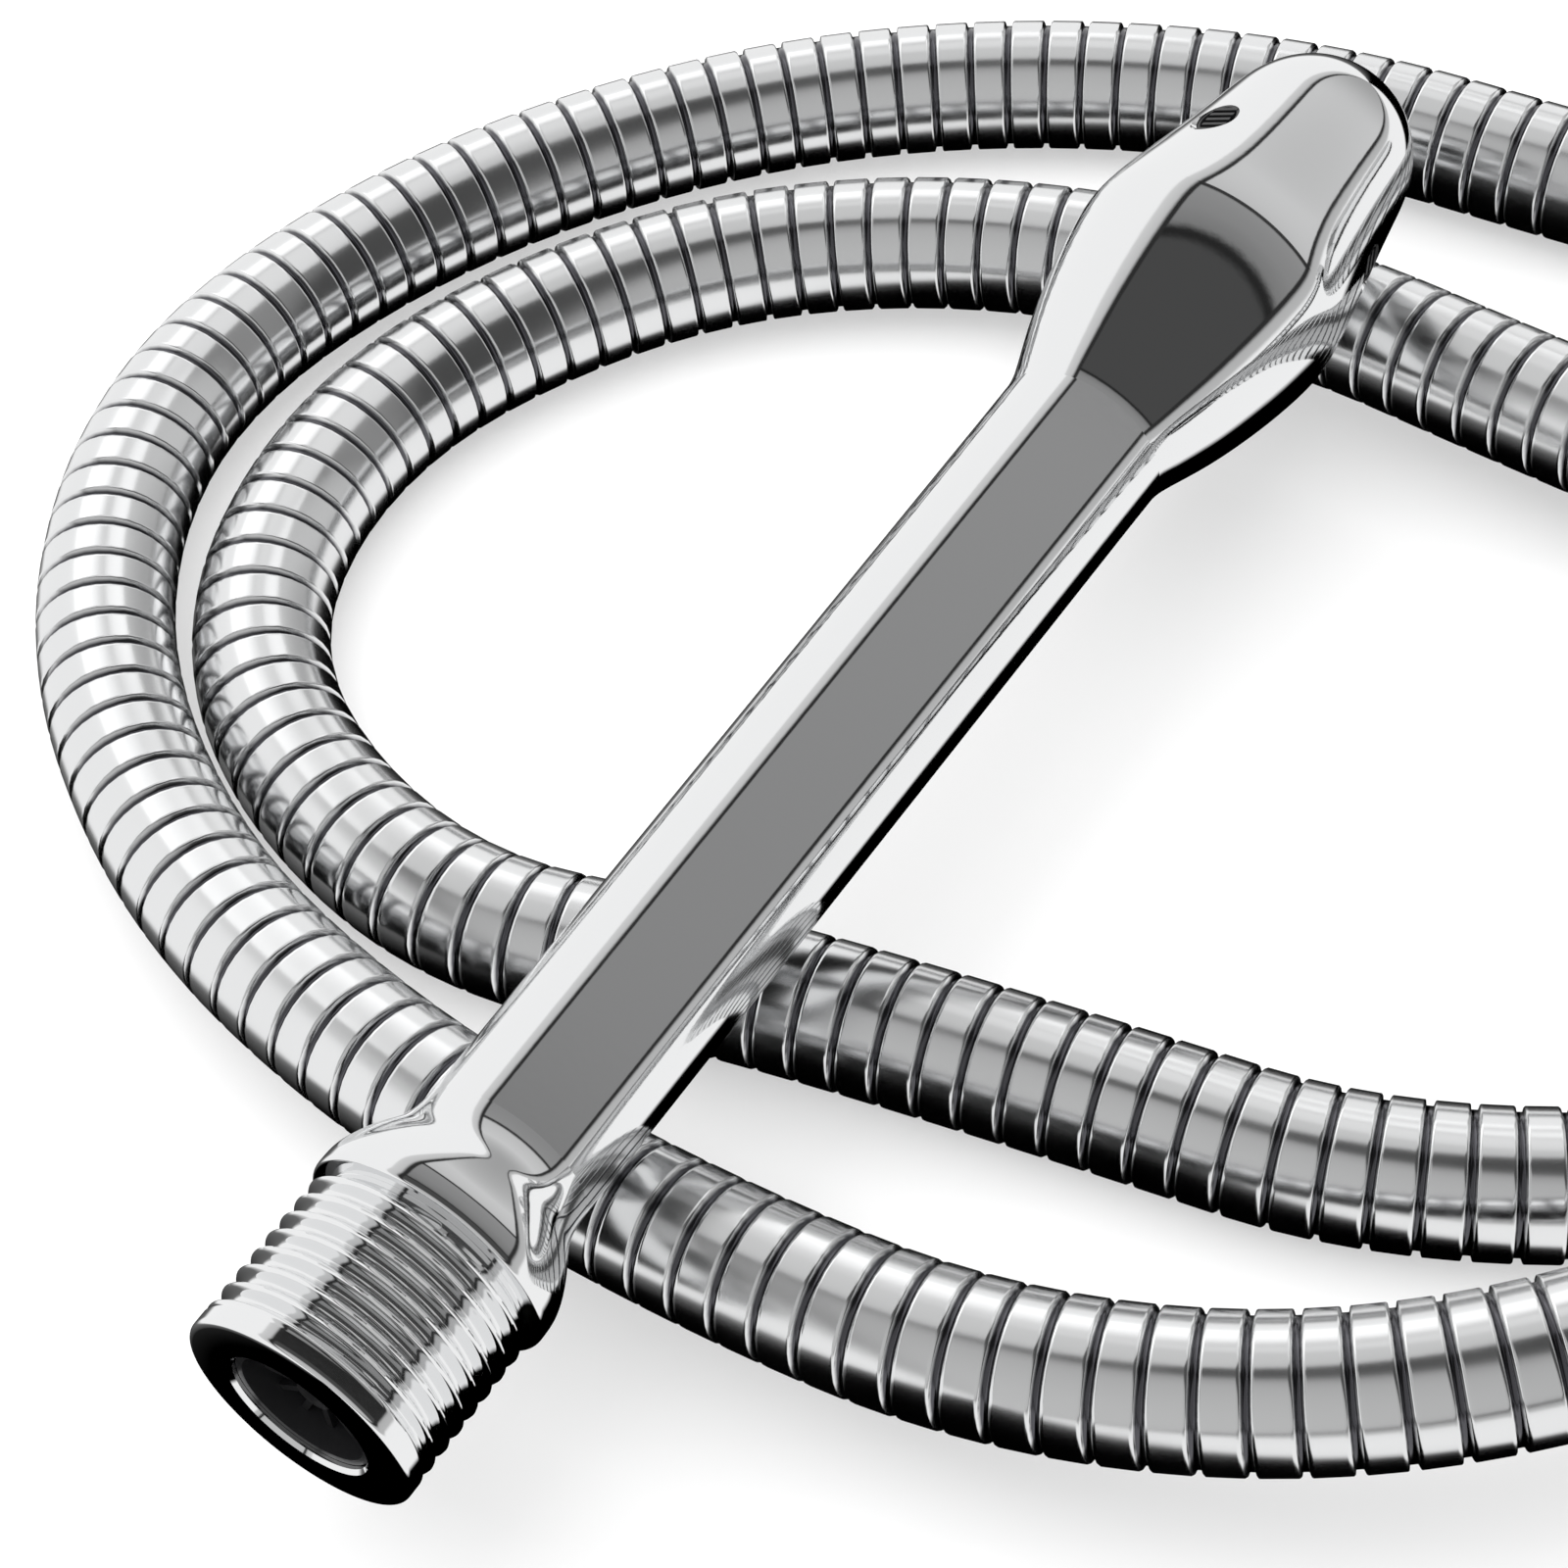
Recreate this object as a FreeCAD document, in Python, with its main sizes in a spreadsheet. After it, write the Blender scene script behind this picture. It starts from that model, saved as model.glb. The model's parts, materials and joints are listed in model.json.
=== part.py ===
"""Slim handheld water wand lying on its loosely looped armoured hose.

The wand is turned brass and tube: a G1/2 inlet with a check valve in its bore, a plain shaft, and
a bulb head with three side jets. The hose is a separate piece with a swivelling nut on each end.
Row frame: origin at the centre of the wand's inlet face, +X along the wand, +Z up, millimetres.
"""
import FreeCAD, Part
import Sketcher
import math
import os

from FreeCAD import Placement, Rotation, Vector

# Driving sizes, in millimetres and degrees: name, value, what it is.
SIZES = [
    ("thread_radius", 10.4775, "G1/2 crest radius"),
    ("thread_depth", 1.162, "G1/2 thread depth"),
    ("thread_pitch", 1.814, "G1/2 pitch"),
    ("thread_grooves", 7, "grooves cut between the ridges"),
    ("thread_first_groove", 3.0, "end face to the first groove's middle"),
    ("thread_root_flat", 0.12, "half width of a groove's floor"),
    ("thread_land", 1.4, "last groove's middle to the thread's back edge"),
    ("thread_relief", 1.0, "plain relief between thread and collar"),
    ("lead_chamfer", 0.5, "chamfer on the thread's first edge"),
    ("collar_step", 0.57, "thread crest to the edge of the inlet's collar"),
    ("collar_width", 1.5, "straight part of the collar"),
    ("neck_length", 9.2, "collar to the shaft, along the concave neck"),
    ("shaft_start_radius", 7.8, "shaft at the neck"),
    ("shaft_swell", 0.35, "growth of the shaft's radius towards the head"),
    ("shaft_length", 87, "visible shaft"),
    ("shaft_wall", 0.75, "wall of the shaft tube at the neck"),
    ("fit_gap", 0.05, "radial gap of a push fit"),
    ("spigot_length", 10, "length of a spigot inside the shaft"),
    ("spigot_wall", 0.9, "wall of a spigot under its seal groove"),
    ("seal_inset", 4, "spigot end to the seal groove"),
    ("seal_width", 2, "width of a seal groove"),
    ("seal_depth", 0.8, "depth of a seal groove"),
    ("seal_squeeze", 0.01, "gap left round a seal"),
    ("inlet_bore", 6.4, "bore radius at the inlet face"),
    ("head_radius", 13.2, "largest radius of the head"),
    ("flare_length", 22, "shaft end to the largest radius"),
    ("cap_length", 28.5, "largest radius to the tip"),
    ("flare_wall", 4.0, "largest radius to the bore of the flare's socket"),
    ("socket_length", 5, "spigot between flare and cap"),
    ("socket_wall", 1.0, "wall of that spigot"),
    ("cap_wall", 2.0, "wall of the cap"),
    ("tip_flat", 1.0, "radius of the small flat on the tip"),
    ("jet_radius", 2.1, "radius of a jet hole"),
    ("jet_inset", 18, "tip to the middle of the jets, along the head"),
    ("jet_count", 3, "jets round the head"),
    ("jet_clock", 35, "turn of the jets about the wand's axis"),
    ("insert_sink", 0.23, "cap's skin to an insert's outer face"),
    ("insert_drop", 1.3, "cap's inner wall at the jets to an insert's inner face"),
    ("insert_rim", 0.4, "height and overhang of an insert's rim"),
    ("mouth_depth", 0.8, "depth of the wide mouth of an insert"),
    ("insert_bore", 1.1, "radius of an insert's water hole"),
    ("core_tail_length", 10, "tail of the flow core in the flare's bore"),
    ("core_gap", 0.4, "flow core's ribbed block to the inserts"),
    ("core_wall", 1.35, "wall of the flow core's tail"),
    ("core_block", 9.5, "length of the ribbed block"),
    ("core_ribs", 12, "ribs round the flow core"),
    ("rib_gap", 1.2, "gap between two ribs"),
    ("strainer_radius", 4.6, "ribbed strainer in the inlet"),
    ("strainer_wall", 1.0, "wall of the strainer"),
    ("strainer_inset", 2.5, "inlet face to the strainer"),
    ("strainer_length", 6.5, "length of the strainer"),
    ("strainer_slots", 12, "slots round the strainer"),
    ("strainer_slot", 1.1, "width of a slot"),
    ("seat_length", 4, "length of the valve seat"),
    ("seat_bore", 3.0, "water way of the valve seat"),
    ("cage_length", 7, "length of the valve cage"),
    ("cage_wall", 1.0, "wall of the valve cage"),
    ("cage_web", 1.5, "thickness of the cage's back web"),
    ("cage_ports", 6, "ports through the cage's back web"),
    ("port_radius", 1.05, "radius of a port"),
    ("port_circle", 3.2, "radius of the ports' circle"),
    ("poppet_gap", 0.1, "closed poppet to its seat"),
    ("poppet_radius", 3.9, "radius of the poppet's head"),
    ("poppet_head", 1.2, "thickness of the poppet's head"),
    ("stem_radius", 0.9, "radius of the poppet's stem"),
    ("stem_over", 0.9, "stem past the front of the web"),
    ("spring_radius", 1.8, "middle radius of the valve spring"),
    ("spring_wire", 0.2, "wire radius of the valve spring"),
    ("spring_turns", 5, "turns of the valve spring"),
    ("spring_slack", 0.3, "gap at each end of the valve spring"),
    ("hose_diameter", 13, "outside of the armour"),
    ("armour_wall", 1.3, "wall of the armour"),
    ("liner_gap", 0.1, "armour's bore to the liner"),
    ("liner_wall", 1.3, "wall of the liner"),
    ("rest_gap", 0.1, "head to the hose that lies below it"),
    ("ferrule_length", 14, "armour held in a ferrule"),
    ("ferrule_wall", 0.85, "wall of a ferrule"),
    ("barb_wall", 0.85, "wall of a hose tail under its barbs' crests"),
    ("barb_height", 0.5, "height of a barb"),
    ("tail_wall", 2.1, "wall of a hose tail's neck"),
    ("flange_gap", 0.9, "nut's thread root to the flange of a hose tail"),
    ("flange_width", 2, "thickness of that flange"),
    ("washer_gap", 0.3, "nut's thread root to the edge of a hose washer"),
    ("washer_width", 2, "thickness of a hose washer"),
    ("glide_width", 1, "thickness of the glide ring"),
    ("spin_gap", 0.3, "gap round a nut that turns freely"),
    ("nut_start", 1.4, "armour's end to the back of a nut"),
    ("nut_relief", 0.3, "nut's thread root to the wall of its flange space"),
    ("nut_thread", 8.8, "threaded length of a nut"),
    ("cone_neck", 17, "armour's end to the flange, conical nut"),
    ("cone_back_step", 0.3, "ferrule's skin to the back edge of the conical nut"),
    ("cone_wall", 1.4, "thread crest to the front skin of the conical nut"),
    ("hex_neck", 4.4, "armour's end to the flange, hexagonal nut"),
    ("hex_wall", 1.5, "thread crest to the hexagon's flats"),
]

# Middle of the hose: x, y and the lift above lying on the floor, from the conical nut's end to the
# hexagonal nut's end. The outer loop climbs under the shaft and over its own way back.
ROUTE = [
    (263, -103, 3.4), (231, -99, 0.3), (203, -80, 0), (188, -50, 0), (184, -18, 0), (181, 14, 0),
    (169, 43, 0), (150, 67, 0), (122, 85, 0.6), (90, 91, 2), (62, 78, 3), (43, 52, 3.6),
    (35, 22, 4.6), (34, -10, 5.2), (36, -40, 7.4), (48, -67, 10), (70, -89, 13), (99, -101, 14),
    (131, -91, 11.5), (148, -65, 7.5), (151, -31, 4), (154, 4, 2.1), (146, 36, 1), (128, 60, 0),
    (97, 74, 0), (66, 65, 0), (52, 33, 0), (60, 4, 0), (66, -27, 0), (71, -57, 0), (92, -88, 0),
    (118, -112, 0), (150, -132, 0), (186, -144, 0.3), (222, -148, 5.6), (258, -146, 5.6),
]
ARC_SHARE = 0.45  # part of the shorter run that an arc takes at each of its ends

doc = FreeCAD.newDocument("water_wand")
sheet = doc.addObject("Spreadsheet::Sheet", "sizes")
for row, (alias, value, meaning) in enumerate(SIZES, start=1):
    sheet.set(f"A{row}", meaning)
    sheet.set(f"B{row}", str(value))
    sheet.setAlias(f"B{row}", alias)
doc.recompute()


class Size:
    """A number together with the sheet formula that gives it, so that a sketch can be bound to it."""

    def __init__(self, value, formula):
        self.value = value
        self.formula = formula

    def __add__(self, other):
        return combined(self, "+", other)

    def __sub__(self, other):
        return combined(self, "-", other)

    def __mul__(self, other):
        return combined(self, "*", other)


def as_size(number):
    """A bare number as a Size."""
    return number if isinstance(number, Size) else Size(float(number), f"{float(number):g}")


def combined(left, sign, right):
    """The sum, difference or product of two sizes."""
    left, right = as_size(left), as_size(right)
    results = {
        "+": left.value + right.value,
        "-": left.value - right.value,
        "*": left.value * right.value,
    }
    return Size(results[sign], f"({left.formula} {sign} {right.formula})")


def size(alias):
    """A driving size of the sheet."""
    return Size(float(getattr(sheet, alias)), f"sizes.{alias}")


def plane(body, role):
    """One of a body's own origin planes or axes."""
    return next(item for item in body.Origin.OriginFeatures if item.Role == role)


def pin(sketch, index, end, x, y):
    """Hold one end of a sketch edge at a place that the sheet gives."""
    for kind, axis, place in (("DistanceX", -2, as_size(x)), ("DistanceY", -1, as_size(y))):
        if abs(place.value) < 1e-9:
            sketch.addConstraint(Sketcher.Constraint("PointOnObject", index, end, axis))
            continue
        number = sketch.addConstraint(Sketcher.Constraint(kind, -1, 1, index, end, place.value))
        sketch.setExpression(f"Constraints[{number}]", place.formula)


def outline_sketch(body, name, outline, role="XZ_Plane"):
    """A closed sketch through corners (x, y); an item (via x, via y, x, y) is reached by an arc."""
    sketch = body.newObject("Sketcher::SketchObject", name)
    sketch.AttachmentSupport = [(plane(body, role), "")]
    sketch.MapMode = "FlatFace"
    spots = [Vector(as_size(item[-2]).value, as_size(item[-1]).value, 0) for item in outline]
    edges = []
    for number, item in enumerate(outline):
        start, end = spots[number - 1], spots[number]
        if len(item) == 2:
            index = sketch.addGeometry(Part.LineSegment(start, end), False)
            edges.append((index, 1, 2))
            continue
        via = Vector(as_size(item[0]).value, as_size(item[1]).value, 0)
        index = sketch.addGeometry(Part.Arc(start, via, end), False)
        forward = sketch.getPoint(index, 1).distanceToPoint(start) < 1e-6
        edges.append((index, 1, 2) if forward else (index, 2, 1))
        middle = sketch.addGeometry(Part.Point(via), True)
        pin(sketch, middle, 1, item[0], item[1])
        sketch.addConstraint(Sketcher.Constraint("PointOnObject", middle, 1, index))
    for number, (index, first, last) in enumerate(edges):
        following, following_first, _ = edges[(number + 1) % len(edges)]
        joint = Sketcher.Constraint("Coincident", index, last, following, following_first)
        sketch.addConstraint(joint)
        pin(sketch, index, last, outline[number][-2], outline[number][-1])
    return sketch


def new_body(name, place=None):
    """An empty body, moved along the wand to its place."""
    body = doc.addObject("PartDesign::Body", name)
    body.Label = name
    if place is not None:
        body.setExpression(".Placement.Base.x", as_size(place).formula)
    return body


def turned(name, outline, place=None):
    """A piece turned about X from the outline (x, radius) of its half section."""
    body = new_body(name, place)
    sketch = outline_sketch(body, name + "_outline", outline)
    turn = body.newObject("PartDesign::Revolution", name + "_turn")
    turn.Profile = sketch
    turn.ReferenceAxis = (sketch, ["H_Axis"])
    turn.Angle = 360
    doc.recompute()
    return body


def repeat_round(body, feature, sketch, axis, count):
    """Repeat a cut evenly round the body's X axis."""
    pattern = body.newObject("PartDesign::PolarPattern", feature.Name + "_round")
    pattern.Originals = [feature]
    pattern.Axis = (sketch, [axis])
    pattern.Angle = 360
    pattern.setExpression("Occurrences", count.formula)
    body.Tip = pattern


def cut_out(body, sketch, name, reach, reversed_cut=False):
    """A pocket that has to remove material."""
    doc.recompute()
    before = body.Shape.Volume
    pocket = body.newObject("PartDesign::Pocket", name)
    pocket.Profile = sketch
    pocket.Reversed = reversed_cut
    pocket.setExpression("Length", as_size(reach).formula)
    doc.recompute()
    if body.Shape.Volume >= before:
        raise ValueError(f"{name} removes nothing")
    return pocket


def circle_sketch(body, name, role, x, y, radius):
    """A sketch with one circle."""
    sketch = body.newObject("Sketcher::SketchObject", name)
    sketch.AttachmentSupport = [(plane(body, role), "")]
    sketch.MapMode = "FlatFace"
    centre = Vector(as_size(x).value, as_size(y).value, 0)
    index = sketch.addGeometry(Part.Circle(centre, Vector(0, 0, 1), radius.value), False)
    pin(sketch, index, 3, x, y)
    number = sketch.addConstraint(Sketcher.Constraint("Radius", index, radius.value))
    sketch.setExpression(f"Constraints[{number}]", radius.formula)
    return sketch


def ring_seal(name, place, inner, outer):
    """An O-ring between two radii, round the wand's axis."""
    ring = doc.addObject("Part::Torus", name)
    ring.Label = name
    ring.Placement = Placement(Vector(), Rotation(Vector(0, 1, 0), 90))
    ring.setExpression("Radius1", ((inner + outer) * 0.5).formula)
    ring.setExpression("Radius2", ((outer - inner) * 0.5 - size("seal_squeeze")).formula)
    ring.setExpression(".Placement.Base.x", place.formula)
    return ring


def shaped(name, shape):
    """A piece whose shape is worked out directly."""
    item = doc.addObject("Part::Feature", name)
    item.Label = name
    item.Shape = shape
    return item


# Wand: places along its axis, from the inlet face.
last_groove = size("thread_first_groove") + size("thread_pitch") * (size("thread_grooves") - 1)
thread_end = last_groove + size("thread_land")
collar_start = thread_end + size("thread_relief")
collar_end = collar_start + size("collar_width")
shaft_start = collar_end + size("neck_length")
shaft_end = shaft_start + size("shaft_length")
widest = shaft_end + size("flare_length")
shaft_bore = size("shaft_start_radius") - size("shaft_wall")
shaft_end_radius = size("shaft_start_radius") + size("shaft_swell")
spigot_radius = shaft_bore - size("fit_gap")
spigot_root = spigot_radius - size("seal_depth")
spigot_length = size("spigot_length")
seal_inset = size("seal_inset")
seal_end = seal_inset + size("seal_width")
water_way = spigot_root - size("spigot_wall")
strainer_end = size("strainer_inset") + size("strainer_length")
seat_end = strainer_end + size("seat_length")
pocket_end = seat_end + size("cage_length")

# Inlet body: thread, collar, concave neck and the spigot that fits in the shaft.
root_radius = size("thread_radius") - size("thread_depth")
collar_radius = size("thread_radius") + size("collar_step")
neck_length = size("neck_length")
neck_drop = collar_radius - size("shaft_start_radius")
inlet_end = shaft_start + spigot_length
inlet_body = turned("inlet_body", [
    (0, size("inlet_bore")),
    (0, size("thread_radius") - size("lead_chamfer")),
    (size("lead_chamfer"), size("thread_radius")),
    (thread_end, size("thread_radius")),
    (thread_end, root_radius),
    (collar_start, root_radius),
    (collar_start, collar_radius),
    (collar_end, collar_radius),
    (collar_end + neck_length * 0.24, collar_radius - neck_drop * 0.22,
     collar_end + neck_length * 0.5, collar_radius - neck_drop * 0.56),
    (collar_end + neck_length * 0.72, collar_radius - neck_drop * 0.86,
     shaft_start, size("shaft_start_radius")),
    (shaft_start, spigot_radius),
    (inlet_end - seal_end, spigot_radius),
    (inlet_end - seal_end, spigot_root),
    (inlet_end - seal_inset, spigot_root),
    (inlet_end - seal_inset, spigot_radius),
    (inlet_end, spigot_radius),
    (inlet_end, water_way),
    (pocket_end, water_way),
    (pocket_end, size("inlet_bore")),
])
flank = size("thread_depth") * math.tan(math.radians(27.5))
groove_middle = size("thread_first_groove")
groove_half = size("thread_root_flat") + flank
groove_sketch = outline_sketch(inlet_body, "thread_groove_outline", [
    (groove_middle - groove_half, size("thread_radius")),
    (groove_middle - groove_half, size("thread_radius") + 0.5),
    (groove_middle + groove_half, size("thread_radius") + 0.5),
    (groove_middle + groove_half, size("thread_radius")),
    (groove_middle + size("thread_root_flat"), root_radius),
    (groove_middle - size("thread_root_flat"), root_radius),
])
volume_before = inlet_body.Shape.Volume
groove = inlet_body.newObject("PartDesign::Groove", "thread_groove")
groove.Profile = groove_sketch
groove.ReferenceAxis = (groove_sketch, ["H_Axis"])
groove.Angle = 360
doc.recompute()
groove_row = inlet_body.newObject("PartDesign::LinearPattern", "thread_grooves")
groove_row.Originals = [groove]
groove_row.Direction = (groove_sketch, ["H_Axis"])
row_length = last_groove - size("thread_first_groove")
groove_row.setExpression("Length", row_length.formula)
groove_row.setExpression("Occurrences", size("thread_grooves").formula)
inlet_body.Tip = groove_row
doc.recompute()
if inlet_body.Shape.Volume >= volume_before:
    raise ValueError("the thread grooves remove nothing")

# Shaft: a slightly tapered tube between the neck and the flare.
turned("shaft_tube", [
    (0, shaft_bore),
    (0, size("shaft_start_radius")),
    (size("shaft_length"), shaft_end_radius),
    (size("shaft_length"), shaft_bore),
], shaft_start)

# Head flare: spigot in the shaft, the bell-shaped flare, and the spigot that the cap screws on.
head_radius = size("head_radius")
flare_length = size("flare_length")
flare_rise = head_radius - shaft_end_radius
flare_start = spigot_length
flare_end = flare_start + flare_length
flare_bore = head_radius - size("flare_wall")
socket_outer = flare_bore + size("socket_wall")
head_flare_place = shaft_end - spigot_length
turned("head_flare", [
    (0, water_way),
    (0, spigot_radius),
    (seal_inset, spigot_radius),
    (seal_inset, spigot_root),
    (seal_end, spigot_root),
    (seal_end, spigot_radius),
    (flare_start, spigot_radius),
    (flare_start, shaft_end_radius),
    (flare_start + flare_length * 0.16, shaft_end_radius + flare_rise * 0.16,
     flare_start + flare_length * 0.36, shaft_end_radius + flare_rise * 0.46),
    (flare_start + flare_length * 0.66, shaft_end_radius + flare_rise * 0.85, flare_end, head_radius),
    (flare_end, socket_outer),
    (flare_end + size("socket_length"), socket_outer),
    (flare_end + size("socket_length"), flare_bore),
    (flare_end - 8, flare_bore - 0.2),
    (flare_start + 3, water_way),
], head_flare_place)

# Head cap: closed, tapering to a domed tip, with three jet holes square to its axis.
cap_length = size("cap_length")
socket_bore = socket_outer + size("fit_gap")
socket_floor = size("socket_length") + 0.3
jet_place = cap_length - size("jet_inset")
cap_wall = size("cap_wall")
head_cap = turned("head_cap", [
    (0, socket_bore),
    (0, head_radius),
    (2.2, head_radius * 0.985, 5, head_radius * 0.95),
    (cap_length * 0.4, head_radius * 0.865, cap_length - 9.5, head_radius * 0.75),
    (cap_length - 4.7, head_radius * 0.63, cap_length - 1.6, head_radius * 0.4),
    (cap_length - 0.45, head_radius * 0.22, cap_length, size("tip_flat")),
    (cap_length, 0),
    (cap_length - 3.5, 0),
    (cap_length - 3.5, head_radius * 0.3),
    (cap_length - 8, head_radius * 0.7 - cap_wall),
    (cap_length - 16, head_radius * 0.82 - cap_wall),
    (socket_floor, head_radius * 0.9 - cap_wall),
    (socket_floor, socket_bore),
], widest)
jet_sketch = circle_sketch(head_cap, "jet_circle", "XY_Plane", jet_place, 0, size("jet_radius"))
jet_hole = cut_out(head_cap, jet_sketch, "jet_hole", head_radius + 5)
repeat_round(head_cap, jet_hole, jet_sketch, "H_Axis", size("jet_count"))
head_cap.Placement = Placement(Vector(), Rotation(Vector(1, 0, 0), 1))
head_cap.setExpression(".Placement.Base.x", widest.formula)
head_cap.setExpression(".Placement.Rotation.Angle", size("jet_clock").formula)

# Jet inserts: one stepped bush in each jet hole, held from inside by its rim.
jet_skin = head_radius * 0.87
insert_inner = jet_skin - cap_wall - size("insert_drop")
bush_height = (jet_skin - size("insert_sink") - insert_inner).value
bush_radius = sheet.jet_radius - sheet.fit_gap
bush_foot = Vector((widest + jet_place).value, 0, -insert_inner.value)
bush_mouth = bush_foot - Vector(0, 0, bush_height - sheet.mouth_depth)
outwards = Vector(0, 0, -1)
bush = Part.makeCylinder(bush_radius, bush_height, bush_foot, outwards)
rim_radius = bush_radius + sheet.insert_rim
bush = bush.fuse(Part.makeCylinder(rim_radius, sheet.insert_rim, bush_foot, outwards))
mouth_radius = (bush_radius + sheet.insert_bore) / 2
bush = bush.cut(Part.makeCylinder(mouth_radius, sheet.mouth_depth, bush_mouth, outwards))
bush = bush.cut(Part.makeCylinder(sheet.insert_bore, bush_height, bush_foot, outwards))
bushes = []
for number in range(int(sheet.jet_count)):
    turn = sheet.jet_clock + number * 360 / sheet.jet_count
    bushes.append(bush.rotated(Vector(), Vector(1, 0, 0), turn))
shaped("jet_inserts", Part.makeCompound(bushes))

# Flow core: brings the water from the flare's bore to the ribbed block behind the jets.
tail_length = size("core_tail_length")
core_bore = water_way - size("fit_gap") - size("core_wall")
core_radius = insert_inner - size("core_gap")
block_end = tail_length + flare_length + jet_place + size("core_block") * 0.5
block_start = block_end - size("core_block")
flow_core = turned("flow_core", [
    (0, core_bore),
    (0, water_way - size("fit_gap")),
    (block_start, water_way - size("fit_gap")),
    (block_start, core_radius),
    (block_end, core_radius - 0.5),
    (block_end, 0),
    (block_end - 2, 0),
    (block_end - 2, core_bore),
], shaft_end - tail_length)
rib_floor = (water_way + core_radius) * 0.5
half_gap = size("rib_gap") * 0.5
rib_gap = outline_sketch(flow_core, "rib_gap_outline", [
    (rib_floor, half_gap * -1), (rib_floor, half_gap),
    (core_radius + 1, half_gap), (core_radius + 1, half_gap * -1),
], "YZ_Plane")
rib_cut = cut_out(flow_core, rib_gap, "rib_cut", block_end - 1, reversed_cut=True)
repeat_round(flow_core, rib_cut, rib_gap, "N_Axis", size("core_ribs"))

# Seals on the two spigots.
half_seal = size("seal_width") * 0.5
ring_seal("inlet_seal", inlet_end - seal_inset - half_seal, spigot_root, shaft_bore)
ring_seal("head_seal", head_flare_place + seal_inset + half_seal, spigot_root, shaft_bore)

# Check valve: strainer, seat with its seal, poppet, spring and cage, in a row down the inlet's bore.
pocket_radius = size("inlet_bore") - size("fit_gap")
seat_root = pocket_radius - size("seal_depth")
strainer_bore = size("strainer_radius") - size("strainer_wall")
strainer = turned("inlet_strainer", [
    (0, 0),
    (0, size("strainer_radius") - 0.5),
    (0.5, size("strainer_radius")),
    (size("strainer_length") - 1, size("strainer_radius")),
    (size("strainer_length") - 1, pocket_radius),
    (size("strainer_length"), pocket_radius),
    (size("strainer_length"), strainer_bore),
    (1, strainer_bore),
    (1, 0),
], size("strainer_inset"))
half_slot = size("strainer_slot") * 0.5
slot_end = size("strainer_length") - 1.4
slot_outline = outline_sketch(strainer, "slot_outline", [
    (1.4, half_slot * -1), (slot_end, half_slot * -1), (slot_end, half_slot), (1.4, half_slot),
], "XY_Plane")
slot = cut_out(strainer, slot_outline, "slot", size("strainer_radius") + 1)
repeat_round(strainer, slot, slot_outline, "H_Axis", size("strainer_slots"))

seat_groove_start = (size("seat_length") - size("seal_width")) * 0.5
turned("valve_seat", [
    (0, size("seat_bore")),
    (0, pocket_radius),
    (seat_groove_start, pocket_radius),
    (seat_groove_start, seat_root),
    (seat_groove_start + size("seal_width"), seat_root),
    (seat_groove_start + size("seal_width"), pocket_radius),
    (size("seat_length"), pocket_radius),
    (size("seat_length"), size("seat_bore")),
], strainer_end)
ring_seal("cartridge_seal", strainer_end + size("seat_length") * 0.5, seat_root, size("inlet_bore"))

cage_length = size("cage_length")
web_start = cage_length - size("cage_web")
guide_bore = size("stem_radius") + size("fit_gap")
cage = turned("valve_cage", [
    (0, pocket_radius - size("cage_wall")),
    (0, pocket_radius),
    (cage_length, pocket_radius),
    (cage_length, guide_bore),
    (web_start, guide_bore),
    (web_start, pocket_radius - size("cage_wall")),
], seat_end)
port_sketch = circle_sketch(cage, "port_circle_sketch", "YZ_Plane", size("port_circle"), 0,
                            size("port_radius"))
port = cut_out(cage, port_sketch, "port", cage_length + 1, reversed_cut=True)
repeat_round(cage, port, port_sketch, "N_Axis", size("cage_ports"))

poppet_place = seat_end + size("poppet_gap")
stem_length = web_start - size("poppet_gap") + size("stem_over")
turned("valve_poppet", [
    (0, 0),
    (0, size("poppet_radius") - 0.4),
    (0.4, size("poppet_radius")),
    (size("poppet_head"), size("poppet_radius")),
    (size("poppet_head"), size("stem_radius")),
    (stem_length, size("stem_radius")),
    (stem_length, 0),
], poppet_place)

spring_margin = size("spring_wire") + size("spring_slack")
spring_start = (poppet_place + size("poppet_head") + spring_margin).value
spring_end = (seat_end + web_start - spring_margin).value
spring_pitch = (spring_end - spring_start) / sheet.spring_turns
coil = Part.makeHelix(spring_pitch, spring_end - spring_start, sheet.spring_radius)
wire_end = Part.makeCircle(sheet.spring_wire, Vector(sheet.spring_radius, 0, 0), Vector(0, 1, 0))
spring = Part.Wire(coil).makePipeShell([Part.Wire(wire_end)], True, True)
spring.Placement = Placement(Vector(spring_start, 0, 0), Rotation(Vector(0, 1, 0), 90))
shaped("valve_spring", spring)

# Hose: armour and liner along one path of straight runs joined by tangent arcs.
hose_radius = sheet.hose_diameter / 2
floor = -(sheet.hose_diameter + sheet.head_radius + sheet.rest_gap)
route = [Vector(x, y, floor + hose_radius + lift) for x, y, lift in ROUTE]


def rounded_path(points):
    """Straight runs and tangent arcs through the route; also the length and the arcs' radii."""
    edges, radii, start = [], [], points[0]
    for before, corner, after in zip(points, points[1:], points[2:]):
        to_before, to_after = before - corner, after - corner
        reach = ARC_SHARE * min(to_before.Length, to_after.Length)
        turn = math.pi - to_before.getAngle(to_after)
        radius = reach / math.tan(turn / 2)
        arc_start = corner + to_before.normalize() * reach
        arc_end = corner + to_after.normalize() * reach
        inward = (to_before + to_after).normalize()
        middle = corner + inward * (radius / math.cos(turn / 2) - radius)
        edges.append(Part.LineSegment(start, arc_start).toShape())
        edges.append(Part.Arc(arc_start, middle, arc_end).toShape())
        radii.append(radius)
        start = arc_end
    edges.append(Part.LineSegment(start, points[-1]).toShape())
    return Part.Wire(edges), sum(edge.Length for edge in edges), radii


hose_path, hose_length, bend_radii = rounded_path(route)
along_start = (route[1] - route[0]).normalize()


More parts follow.
